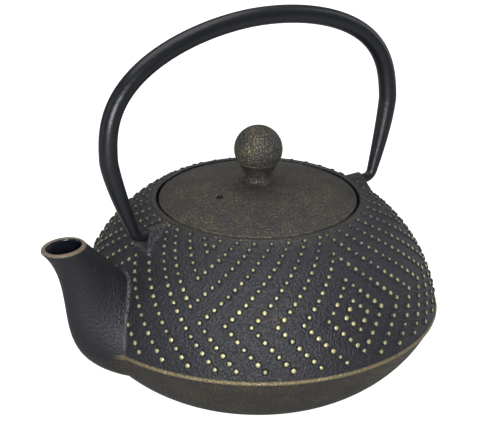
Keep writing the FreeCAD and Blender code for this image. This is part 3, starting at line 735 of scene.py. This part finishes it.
def stud_tree(inputs):
    """Studs in chevrons and diamonds on a shoulder that is an arc turned about Z."""
    tree = new_tree("studs", inputs)
    net = Net(tree)
    given = net.add("NodeGroupInput")
    value = {label: given.other(label) for label in inputs}
    spots = net.add("GeometryNodeMeshLine", values={"Count": value["Around"] * value["Rows"]})
    index = net.add("GeometryNodeInputIndex")
    row = net.math("FLOOR", index / value["Around"])
    half = value["Around"] / 2
    column = index % half
    column = net.math("MINIMUM", column, half - column)

    # lines of studs run up the flanks, round the diamonds and back in the upper chevrons
    upper = row > value["Centre Row"] + 0.5
    beyond = column > value["Fold"] + 0.5
    folded = column - upper * beyond * (column - value["Fold"]) * 2
    ring = folded + abs(row - value["Centre Row"])
    on_ring = (abs(ring - 2) < 0.5) + (abs(ring % value["Step"] - 1) < 0.5) * (ring > 1.5)
    slant = column - row
    on_flank = abs(slant % value["Step"] - 2) < 0.5
    is_flank = slant > value["Flank"] - 0.5
    wanted = is_flank * on_flank + (1 - is_flank) * on_ring

    # places on the arc, and the way out of it
    climb = value["Start"] + (value["First"] + row * value["Pitch"]) / value["Arc"]
    turn = index / value["Around"] * FULL_TURN
    out, up = net.math("COSINE", climb), net.math("SINE", climb)
    radius = value["Arc Out"] + out * value["Arc"]
    east, north = net.math("COSINE", turn), net.math("SINE", turn)
    # the first column of the pattern lies on +Y
    spot = net.add("ShaderNodeCombineXYZ", values={
        0: radius * north * -1, 1: radius * east, 2: value["Arc Up"] + up * value["Arc"]})
    normal = net.add("ShaderNodeCombineXYZ", values={0: out * north * -1, 1: out * east, 2: up})
    spots = net.add("GeometryNodeSetPosition", values={"Geometry": spots, "Position": spot})

    # no stud where the spout or a lug stands in the way
    lifted = net.add("ShaderNodeVectorMath", {"operation": "SCALE"}, {0: normal, "Scale": value["Probe"]})
    lifted = net.add("ShaderNodeVectorMath", {"operation": "ADD"}, {0: spot, 1: lifted})
    room = net.add("GeometryNodeProximity", {"target_element": "FACES"},
                   {0: given, "Sample Position": lifted}, "Distance")
    wanted = wanted * (room > value["Room"])

    # one stud: a tube closed with a small flat tip and drawn into a dome
    stud = net.add("GeometryNodeMeshCylinder", values={
        "Vertices": STUD_CORNERS, "Side Segments": STUD_RINGS, "Radius": 1.0, "Depth": 1.0})
    here = net.add("GeometryNodeInputPosition")
    across = net.add("ShaderNodeSeparateXYZ", values={0: here})
    tip = across.other("Z") + 0.5
    dome = (STUD_BLUNT - tip * tip).root() + (1 - tip) ** 4 * STUD_FLARE
    shape = net.add("ShaderNodeCombineXYZ", values={
        0: across * dome * value["Radius"], 1: across.other("Y") * dome * value["Radius"],
        2: (tip - STUD_SUNK) * value["Height"]})
    tipped = net.add("GeometryNodeStoreNamedAttribute", {"data_type": "FLOAT", "domain": "POINT"},
                     {"Geometry": stud, "Name": "tip", "Value": tip})
    stud = net.add("GeometryNodeSetPosition", values={"Geometry": tipped, "Position": shape})
    stud = net.add("GeometryNodeSetShadeSmooth", values={"Geometry": stud})

    turned = net.add("FunctionNodeAlignRotationToVector", {"axis": "Z"}, {"Vector": normal})
    chance = net.add("FunctionNodeRandomValue", values={
        "Min": STUD_LEAST, "Max": STUD_MOST, "Seed": value["Seed"]}, output="Value")
    scale = chance.other(1) * (1 - row / value["Rows"] * value["Dwindle"])
    studs = net.add("GeometryNodeInstanceOnPoints", values={
        "Points": spots, "Selection": wanted, "Instance": stud, "Rotation": turned, "Scale": scale})
    worn = net.add("FunctionNodeRandomValue", values={"Seed": value["Seed"] + 1})
    studs = net.add("GeometryNodeStoreNamedAttribute", {"data_type": "FLOAT", "domain": "INSTANCE"},
                    {"Geometry": studs, "Name": "worn", "Value": worn.other(1)})
    studs = net.add("GeometryNodeRealizeInstances", values={"Geometry": studs})
    studs = net.add("GeometryNodeSetMaterial", values={"Geometry": studs, "Material": value["Material"]})
    net.add("NodeGroupOutput", values={0: studs})
    return tree


class TEAPOT_OT_studs(bpy.types.Operator):
    """Casts the studs on the shoulder"""
    bl_idname = "teapot.studs"
    bl_label = "Studs"

    def execute(self, context):
        pot, studs = chosen("pot"), chosen("studs")
        middle = shoulder_arc()
        inputs = {
            "Around": studs.around, "Rows": studs.rows, "First": studs.first, "Pitch": studs.pitch,
            "Radius": studs.radius, "Height": studs.height, "Dwindle": studs.dwindle,
            "Centre Row": studs.centre, "Step": studs.step, "Fold": studs.fold, "Flank": studs.flank,
            "Probe": studs.probe, "Room": studs.room, "Seed": studs.seed,
            "Arc": pot.shoulder, "Arc Out": middle.x, "Arc Up": middle.y,
            "Start": math.asin((pot.seam - middle.y) / pot.shoulder),
            "Material": stud_iron(),
        }
        piece = piece_from("shoulder_studs", lambda: merged_copy("pot_body"), [], pot.crease)
        grown(piece, stud_tree(inputs), inputs)
        assign(piece, "pot", "dark_iron")
        return {"FINISHED"}


# ---- handle ------------------------------------

def handle_line():
    """The middle line from the end of one hook to the top, above the hinge axis."""
    h = chosen("handle")

    def arm(up):
        share = (h.widest - up) / h.widest
        return Vector((h.half_span - h.bulge * share ** h.lower_power, 0, up))

    foot = arm(0)
    way = arm(h.widest / ARM_PARTS) - foot
    turn = math.atan2(way.z, way.x)
    bend_start = foot.x - h.bend * math.tan(turn / 2)
    few = h.steps // 4
    line = [Vector((h.pin_end + (bend_start - h.pin_end) * step / few, 0, 0)) for step in range(few)]
    for step in range(few + 1):
        part = turn * step / few
        line.append(Vector((bend_start + h.bend * math.sin(part), 0, h.bend * (1 - math.cos(part)))))
    low = line[-1].z
    line += [arm(low + (h.widest - low) * step / h.steps) for step in range(1, h.steps + 1)]
    for step in range(1, h.steps + 1):
        part = math.pi / 2 * step / h.steps
        out = h.half_span * math.cos(part) ** (2 / h.side_power)
        up = h.widest + (h.rise - h.widest) * math.sin(part) ** (2 / h.top_power)
        line.append(Vector((out if step < h.steps else 0, 0, up)))
    return line


def even(line, spacing):
    """A line with points at even distances."""
    spaced, carried = [line[0]], 0.0
    for start, end in zip(line, line[1:]):
        run = (end - start).length
        while carried + run >= spacing:
            start = start.lerp(end, (spacing - carried) / run)
            spaced.append(start)
            run = (end - start).length
            carried = 0.0
        carried += run
    return spaced


def handle_rod():
    """The rod, thinner towards its hooks, leaning as it does at rest."""
    h = chosen("handle")
    half = handle_line()
    line = [Vector((-point.x, 0, point.z)) for point in half] + half[-2::-1]
    line = even(line, h.spacing) + [line[-1]]
    made = bmesh.new()
    rings = []
    for number, point in enumerate(line):
        along = (line[min(number + 1, len(line) - 1)] - line[max(number - 1, 0)]).normalized()
        across = Vector((0, 1, 0))
        up = across.cross(along)
        share = min(max(point.z, 0) / h.taper, 1)
        radius = h.hook + (h.radius - h.hook) * math.sin(share * math.pi / 2)
        turns = [FULL_TURN * side / h.sides for side in range(h.sides)]
        ways = [across * math.cos(turn) + up * math.sin(turn) for turn in turns]
        rings.append([made.verts.new(point + way * radius) for way in ways])
    for ring, following in zip(rings, rings[1:]):
        for side in range(h.sides):
            after = (side + 1) % h.sides
            made.faces.new([ring[side], ring[after], following[after], following[side]])
    made.faces.new(rings[0])
    made.faces.new(rings[-1])
    bmesh.ops.recalc_face_normals(made, faces=made.faces)
    lean = Matrix.Translation((0, 0, h.hinge)) @ Matrix.Rotation(-h.lean, 4, "X")
    made.transform(lean)
    return made


class TEAPOT_OT_handle(bpy.types.Operator):
    """Bends the handle"""
    bl_idname = "teapot.handle"
    bl_label = "Handle"

    def execute(self, context):
        piece = piece_from("hoop_handle", handle_rod, [handle_lacquer()], chosen("pot").crease)
        assign(piece, "handle", "black_iron", "handle")
        return {"FINISHED"}


# ---- lid and knob ------------------------------

def lid_casting():
    """The dome with its edge and skirt, whose corners are softened as in a casting."""
    lid = chosen("lid")
    rise = LID_HIGH.z - lid.edge
    dome = (LID_HIGH.x ** 2 + rise ** 2) / (2 * rise)

    def dome_height(radius, drop):
        return LID_HIGH.z - radius ** 2 / (2 * dome) * (1 + radius ** 2 / (4 * dome ** 2)) - drop

    shares = [step / DOME_STEPS for step in range(1, DOME_STEPS)]
    top = [LID_HIGH.x + (lid.land - LID_HIGH.x) * share for share in shares]
    under = [lid.boss + (lid.skirt_in - lid.boss) * share for share in shares]
    outline = [
        (lid.screw_hole, LID_HIGH.z - lid.wall),
        (lid.boss, LID_HIGH.z - lid.wall),
        *[(radius, dome_height(radius, lid.wall)) for radius in under],
        (lid.skirt_in, dome_height(lid.skirt_in, lid.wall), True),
        (lid.skirt_in, LID_LOW.z, True),
        (lid.skirt_out, LID_LOW.z, True),
        (lid.skirt_out, lid.seat, True),
        (LID_HIGH.x, lid.seat, True),
        (LID_HIGH.x, lid.edge, True),
        *[(radius, dome_height(radius, 0)) for radius in top],
        (lid.land, LID_HIGH.z),
        (lid.screw_hole, LID_HIGH.z),
    ]
    return lathe(rounded(outline, lid.round), lid.sides)


def vent_drill():
    """A round bar through the lid where its vent hole goes."""
    lid = chosen("lid")
    made = lathe(ring_outline(0, lid.vent, LID_LOW.z, KNOB_HIGH.z), DRILL_SIDES)
    made.transform(Matrix.Translation((
        -lid.vent_offset * math.cos(lid.vent_turn), -lid.vent_offset * math.sin(lid.vent_turn), 0)))
    return made


class TEAPOT_OT_lid(bpy.types.Operator):
    """Makes the lid and its vent hole"""
    bl_idname = "teapot.lid"
    bl_label = "Lid"

    def execute(self, context):
        crease = chosen("pot").crease
        piece = piece_from("lid_casting", lid_casting, [dusted_iron("lid_iron", -0.005)], crease)
        drill = piece_from("vent_drill", vent_drill, [], crease)
        cut = piece.modifiers.new("vent", "BOOLEAN")
        cut.operation = "DIFFERENCE"
        cut.solver = "EXACT"
        cut.object = drill
        settled(piece)
        bpy.data.objects.remove(drill)
        assign(piece, "lid", "brown_iron", "lid")
        return {"FINISHED"}


def knob_casting():
    """The ball, its cone and its neck, with the mould's parting ridge between ball and cone."""
    lid = chosen("lid")
    foot = KNOB_LOW.z
    middle = KNOB_HIGH.z - lid.ball
    down = middle - foot - lid.neck_top
    turn = math.acos(lid.ball / math.hypot(lid.neck, down)) - math.atan2(down, lid.neck)
    cone = (lid.ball * math.cos(turn), middle + lid.ball * math.sin(turn))
    flare = (lid.neck + lid.flare, foot + lid.foot_edge + lid.flare)
    ball = arc((0, middle), lid.ball, math.degrees(turn), 90, BALL_STEPS)
    ridge = lid.ridge
    neck_edge = (lid.neck, foot + lid.neck_top, True)
    outline = [
        (lid.thread, foot),
        (lid.neck + lid.flare, foot),
        *arc(flare, lid.flare, 270, 180, FLARE_STEPS),
        neck_edge,
        (cone[0] - ridge * 0.7, cone[1] - ridge),
        (cone[0] + lid.parting, cone[1] - ridge * 0.4),
        (cone[0] + lid.parting, cone[1] + ridge * 0.4),
        (cone[0] + ridge * 0.2, cone[1] + ridge),
        *ball[2:-1],
        (0, KNOB_HIGH.z),
        (0, lid.thread_end),
        (lid.thread, lid.thread_end),
    ]
    return lathe(rounded(outline, lid.neck_round), KNOB_SIDES)


class TEAPOT_OT_knob(bpy.types.Operator):
    """Makes the knob, and finishes its screw and washer"""
    bl_idname = "teapot.knob"
    bl_label = "Knob"

    def execute(self, context):
        piece = piece_from("knob_casting", knob_casting, [dusted_iron("knob_iron", 0.012)], KNOB_SHARP)
        assign(piece, "lid", "brown_iron", "lid_knob")
        steel_copies("lid", "turned", brushed_steel(), "knob_screw", "knob_washer")
        return {"FINISHED"}


# ---- infuser -----------------------------------

def cell(width, height, hole):
    """One cell of a perforated sheet: a rectangle with an eight-cornered hole."""
    made = bmesh.new()
    turns = [FULL_TURN * step / HOLE_CORNERS for step in range(HOLE_CORNERS)]
    inner = [made.verts.new((hole * math.cos(t), hole * math.sin(t), 0)) for t in turns]
    # the corners of the rectangle and the middles of its sides
    signs = [(round(math.cos(t) * 1.2), round(math.sin(t) * 1.2)) for t in turns]
    outer = [made.verts.new((x * width / 2, y * height / 2, 0)) for x, y in signs]
    for step in range(HOLE_CORNERS):
        after = (step + 1) % HOLE_CORNERS
        made.faces.new([inner[step], outer[step], outer[after], inner[after]])
    return made


def sheet_tree(name, inputs, rolled):
    """A perforated sheet of cells, flat and round or rolled into a sleeve."""
    tree = new_tree(name, inputs)
    net = Net(tree)
    given = net.add("NodeGroupInput")
    value = {label: given.other(label) for label in inputs}
    grid = net.add("GeometryNodeMeshGrid", values={
        "Size X": value["Width"] * (value["Columns"] - 1), "Size Y": value["Height"] * (value["Rows"] - 1),
        "Vertices X": value["Columns"], "Vertices Y": value["Rows"]})
    here = net.add("GeometryNodeInputPosition")
    apart = net.add("ShaderNodeSeparateXYZ", values={0: here})
    info = net.add("GeometryNodeObjectInfo", values={"Object": value["Cell"]}, output="Geometry")
    reach = (apart * apart + apart.other("Y") * apart.other("Y")).root()
    wanted = reach < value["Reach"]
    sheet = net.add("GeometryNodeInstanceOnPoints", values={
        "Points": grid, "Selection": wanted, "Instance": info})
    sheet = net.add("GeometryNodeRealizeInstances", values={"Geometry": sheet})
    sheet = net.add("GeometryNodeMergeByDistance", values={"Geometry": sheet, "Distance": SAME_CORNER})
    if rolled:
        turn = apart / value["Radius"]
        shape = net.add("ShaderNodeCombineXYZ", values={
            0: net.math("COSINE", turn) * value["Radius"], 1: net.math("SINE", turn) * value["Radius"],
            2: apart.other("Y") + value["Level"]})
    else:
        shape = net.add("ShaderNodeCombineXYZ", values={0: apart, 1: apart.other("Y"), 2: value["Level"]})
    sheet = net.add("GeometryNodeSetPosition", values={"Geometry": sheet, "Position": shape})
    sheet = net.add("GeometryNodeMergeByDistance", values={"Geometry": sheet, "Distance": SAME_CORNER})
    sheet = net.add("GeometryNodeSetMaterial", values={"Geometry": sheet, "Material": value["Material"]})
    net.add("NodeGroupOutput", values={0: sheet})
    return tree


def perforated(name, inputs, rolled, thickness, steel):
    """A perforated sheet with its thickness."""
    holder = cell(inputs["Width"], inputs["Height"], chosen("basket").hole)
    inputs["Cell"] = piece_from(f"{name}_cell", lambda: holder, [steel], SMOOTH)
    inputs["Material"] = steel
    piece = bpy.data.objects.new(name, bpy.data.meshes.new(name))
    bpy.context.scene.collection.objects.link(piece)
    grown(piece, sheet_tree(name, inputs, rolled), inputs)
    bpy.data.objects.remove(inputs["Cell"])
    thick = piece.modifiers.new("thickness", "SOLIDIFY")
    thick.thickness = thickness
    thick.offset = 0
    return settled(piece)


class TEAPOT_OT_infuser(bpy.types.Operator):
    """Makes the infuser: rim, perforated sleeve and floor, and foot ring"""
    bl_idname = "teapot.infuser"
    bl_label = "Infuser"

    def strip(self, name, outline, steel):
        """A plain ring of steel strip."""
        return piece_from(name, lambda: lathe(outline, STEEL_SIDES), [steel], SHARP)

    def execute(self, context):
        basket = chosen("basket")
        steel = brushed_steel()
        thickness = basket.steel * SHEET_THICKNESS
        radius = SLEEVE_HIGH.x - basket.steel / 2
        width = FULL_TURN * radius / basket.around
        tall = SLEEVE_HIGH.z - SLEEVE_LOW.z
        rows = round((tall - 2 * basket.plain) / width)
        middle = (SLEEVE_HIGH.z + SLEEVE_LOW.z) / 2
        sheet = perforated("sleeve_mesh", {
            "Width": width, "Height": width, "Columns": basket.around, "Rows": rows, "Radius": radius,
            "Level": middle, "Reach": EVERY_HOLE}, True, thickness, steel)
        assign(sheet, "infuser", "steel_mesh", "infuser_sleeve")
        half = rows * width / 2
        inner = SLEEVE_HIGH.x - basket.steel
        strips = {"upper": (middle + half, SLEEVE_HIGH.z), "lower": (SLEEVE_LOW.z, middle - half)}
        for label, (low, high) in strips.items():
            outline = ring_outline(inner, SLEEVE_HIGH.x, low, high)
            strip = self.strip(f"sleeve_{label}_strip", outline, steel)
            assign(strip, "infuser", "stainless")
        level = (FLOOR_LOW.z + FLOOR_HIGH.z) / 2
        reach = FLOOR_HIGH.x - basket.floor_plain
        columns = 2 * int(reach / width) + 1
        disc = perforated("floor_mesh", {
            "Width": width, "Height": width, "Columns": columns, "Rows": columns, "Level": level,
            "Reach": reach + width * 0.4, "Radius": radius}, False, thickness, steel)
        assign(disc, "infuser", "steel_mesh", "infuser_floor")
        outline = ring_outline(reach - width / 2, FLOOR_HIGH.x, FLOOR_LOW.z, FLOOR_HIGH.z)
        rim = self.strip("floor_rim", outline, steel)
        assign(rim, "infuser", "stainless")
        steel_copies("infuser", "rolled", steel, "infuser_rim", "infuser_foot_ring")
        return {"FINISHED"}


# ---- stage -------------------------------------

def aimed(thing, spot, target, roll=0.0):
    """Puts a light or a camera at a spot and points it at a target."""
    thing.location = spot
    turn = (Vector(target) - Vector(spot)).to_track_quat("-Z", "Y").to_matrix()
    thing.rotation_euler = (turn @ Matrix.Rotation(roll, 3, "Z")).to_euler()
    bpy.context.scene.collection.objects.link(thing)


def soft_light(name, power, width, height, spot, target, tint):
    """A large soft box."""
    lamp = bpy.data.lights.new(name, "AREA")
    lamp.shape = "RECTANGLE"
    lamp.size = width
    lamp.size_y = height
    lamp.energy = power
    lamp.color = tint
    aimed(bpy.data.objects.new(name, lamp), spot, target)


COOL, COOLISH, NEUTRAL = (0.85, 0.92, 1), (0.95, 0.97, 1), (1, 1, 1)
# name of a light: share of the key power, width, height, spot, target, tint
LIGHTS = {
    "overhead": (1.5, 1.4, 1.4, (0.1, 0.3, 1.5), (0, 0, 0.05), NEUTRAL),
    "front": (1.7, 0.4, 0.4, (-0.66, -0.95, 0.48), (0, 0, 0.08), COOLISH),
    "left": (0.25, 0.4, 1.2, (-1.2, 0.5, 0.55), (0, 0, 0.07), COOL),
    "right": (0.35, 0.4, 1.2, (1.2, -0.1, 0.5), (0, 0, 0.07), COOL),
}


class TEAPOT_OT_stage(bpy.types.Operator):
    """Sets the floor, the lights and the camera"""
    bl_idname = "teapot.stage"
    bl_label = "Stage"

    def execute(self, context):
        stage = chosen("stage")
        aim = Vector((stage.aim_x, stage.aim_y, stage.aim_z))
        level = math.cos(stage.height)
        across, away = level * math.sin(stage.swing), -level * math.cos(stage.swing)
        back = Vector((across, away, math.sin(stage.height)))
        camera_data = bpy.data.cameras.new("camera")
        camera_data.lens = stage.lens
        camera = bpy.data.objects.new("camera", camera_data)
        aimed(camera, aim + back * stage.distance, aim, stage.roll)
        context.scene.camera = camera

        s = Surface("floor")
        glow = s.net.mix(s.net.add("ShaderNodeLightPath", output="Is Camera Ray"), (0, 0, 0), stage.floor)
        s.finish(Base_Color=stage.bounce, Roughness=0.9, Emission_Color=glow, Emission_Strength=stage.glow)
        made = bmesh.new()
        bmesh.ops.create_grid(made, x_segments=1, y_segments=1, size=FLOOR_HALF)
        floor = piece_from("floor", lambda: made, [s.material], SMOOTH)

        world = bpy.data.worlds.new("studio")
        world.use_nodes = True
        world.node_tree.nodes.clear()
        net = Net(world.node_tree)
        seen = net.add("ShaderNodeLightPath", output="Is Camera Ray")
        strength = seen * (1 - stage.daylight) + stage.daylight
        sky = net.add("ShaderNodeBackground", values={"Color": (1, 1, 1), "Strength": strength})
        net.add("ShaderNodeOutputWorld", values={"Surface": sky})
        context.scene.world = world
        context.scene.view_settings.view_transform = "Standard"

        for name, (share, *setting) in LIGHTS.items():
            soft_light(name, stage.key * share, *setting)
        return {"FINISHED"}


# ---- add-on ------------------------------------

STEPS = ("pot", "studs", "handle", "lid", "knob", "infuser", "stage")


class TEAPOT_PT_panel(bpy.types.Panel):
    """Lists the teapot's pieces"""
    bl_idname = "TEAPOT_PT_panel"
    bl_label = "Teapot"
    bl_space_type = "VIEW_3D"
    bl_region_type = "UI"
    bl_category = "Teapot"

    def draw(self, context):
        for step in STEPS:
            self.layout.operator(f"teapot.{step}")


OPERATORS = (TEAPOT_OT_pot, TEAPOT_OT_studs, TEAPOT_OT_handle, TEAPOT_OT_lid, TEAPOT_OT_knob,
             TEAPOT_OT_infuser, TEAPOT_OT_stage)


def register():
    for kind in (*GROUPS.values(), *OPERATORS, TEAPOT_PT_panel):
        bpy.utils.register_class(kind)
    for name, kind in GROUPS.items():
        setattr(bpy.types.Scene, f"teapot_{name}", PointerProperty(type=kind))


def unregister():
    for name in GROUPS:
        delattr(bpy.types.Scene, f"teapot_{name}")
    for kind in (TEAPOT_PT_panel, *OPERATORS, *GROUPS.values()):
        bpy.utils.unregister_class(kind)


def main():
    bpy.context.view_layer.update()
    register()
    for step in STEPS:
        getattr(bpy.ops.teapot, step)()


if __name__ == "__main__":
    main()
